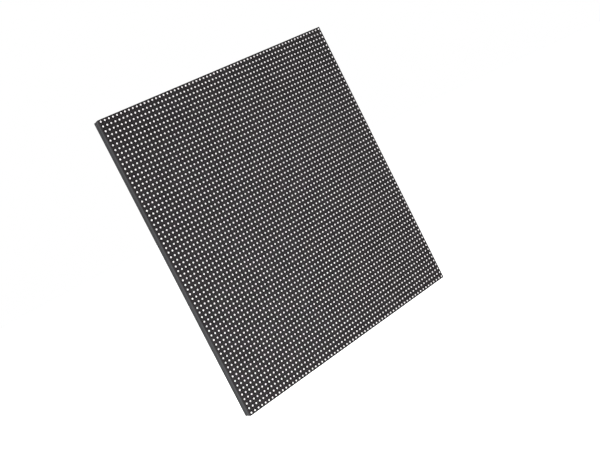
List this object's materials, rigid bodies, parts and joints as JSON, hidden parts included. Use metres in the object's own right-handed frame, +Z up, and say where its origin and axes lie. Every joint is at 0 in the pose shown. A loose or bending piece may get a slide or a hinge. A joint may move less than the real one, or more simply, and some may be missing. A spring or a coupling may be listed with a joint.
{
  "type": "rgb led matrix panel",
  "caption": "Square RGB LED matrix panel: black slotted mask over a fine grid of LEDs, a circuit board, and a ribbed rear frame with data and power headers.",
  "frame": {"origin": "middle of the rear mounting plane, at the centre of the four bolt inserts", "axes": "the LEDs face -Y, +Y points out of the rear towards the wall or cabinet, +X is to the right seen from the front, +Z is up"},
  "size_m": [0.1918, 0.017, 0.1918],
  "materials": {
    "mask_plastic": "fine matt moulded black",
    "led_resin": "clear resin over a white cup",
    "board_laminate": "black solder mask",
    "frame_plastic": "moulded black, lightly textured",
    "insert_brass": "turned, knurled outside",
    "nut_steel": "tin plated",
    "screw_steel": "zinc plated",
    "header_plastic": "moulded black",
    "pin_gold": "gold flashed",
    "power_plastic": "moulded natural",
    "pin_tin": "tin plated",
    "chip_epoxy": "moulded epoxy",
    "base_plastic": "moulded black",
    "can_aluminium": "drawn can",
    "capacitor_ceramic": "fired ceramic with tinned ends",
    "resistor_ceramic": "printed ceramic with tinned ends"
  },
  "bodies": {
    "root": {"led_mask": "mask_plastic", "led_columns": "led_resin", "circuit_board": "board_laminate", "rear_frame": "frame_plastic", "threaded_inserts": "insert_brass", "board_nuts": "nut_steel", "frame_screws": "screw_steel", "data_in_shroud": "header_plastic", "data_in_pins": "pin_gold", "data_out_shroud": "header_plastic", "data_out_pins": "pin_gold", "power_header": "power_plastic", "power_pins": "pin_tin", "bypass_capacitors": "capacitor_ceramic", "current_resistors": "resistor_ceramic", "column_driver_01": "chip_epoxy", "column_driver_02": "chip_epoxy", "column_driver_03": "chip_epoxy", "column_driver_04": "chip_epoxy", "column_driver_05": "chip_epoxy", "column_driver_06": "chip_epoxy", "column_driver_07": "chip_epoxy", "column_driver_08": "chip_epoxy", "column_driver_09": "chip_epoxy", "column_driver_10": "chip_epoxy", "column_driver_11": "chip_epoxy", "column_driver_12": "chip_epoxy", "column_driver_13": "chip_epoxy", "column_driver_14": "chip_epoxy", "column_driver_15": "chip_epoxy", "column_driver_16": "chip_epoxy", "column_driver_17": "chip_epoxy", "column_driver_18": "chip_epoxy", "column_driver_19": "chip_epoxy", "column_driver_20": "chip_epoxy", "column_driver_21": "chip_epoxy", "column_driver_22": "chip_epoxy", "column_driver_23": "chip_epoxy", "column_driver_24": "chip_epoxy", "row_driver_1": "chip_epoxy", "row_driver_2": "chip_epoxy", "row_driver_3": "chip_epoxy", "row_driver_4": "chip_epoxy", "signal_buffer_1": "chip_epoxy", "signal_buffer_2": "chip_epoxy", "signal_buffer_3": "chip_epoxy", "capacitor_base_1": "base_plastic", "capacitor_base_2": "base_plastic", "capacitor_base_3": "base_plastic", "capacitor_base_4": "base_plastic", "capacitor_base_5": "base_plastic", "capacitor_can_1": "can_aluminium", "capacitor_can_2": "can_aluminium", "capacitor_can_3": "can_aluminium", "capacitor_can_4": "can_aluminium", "capacitor_can_5": "can_aluminium"}
  },
  "joints": []
}
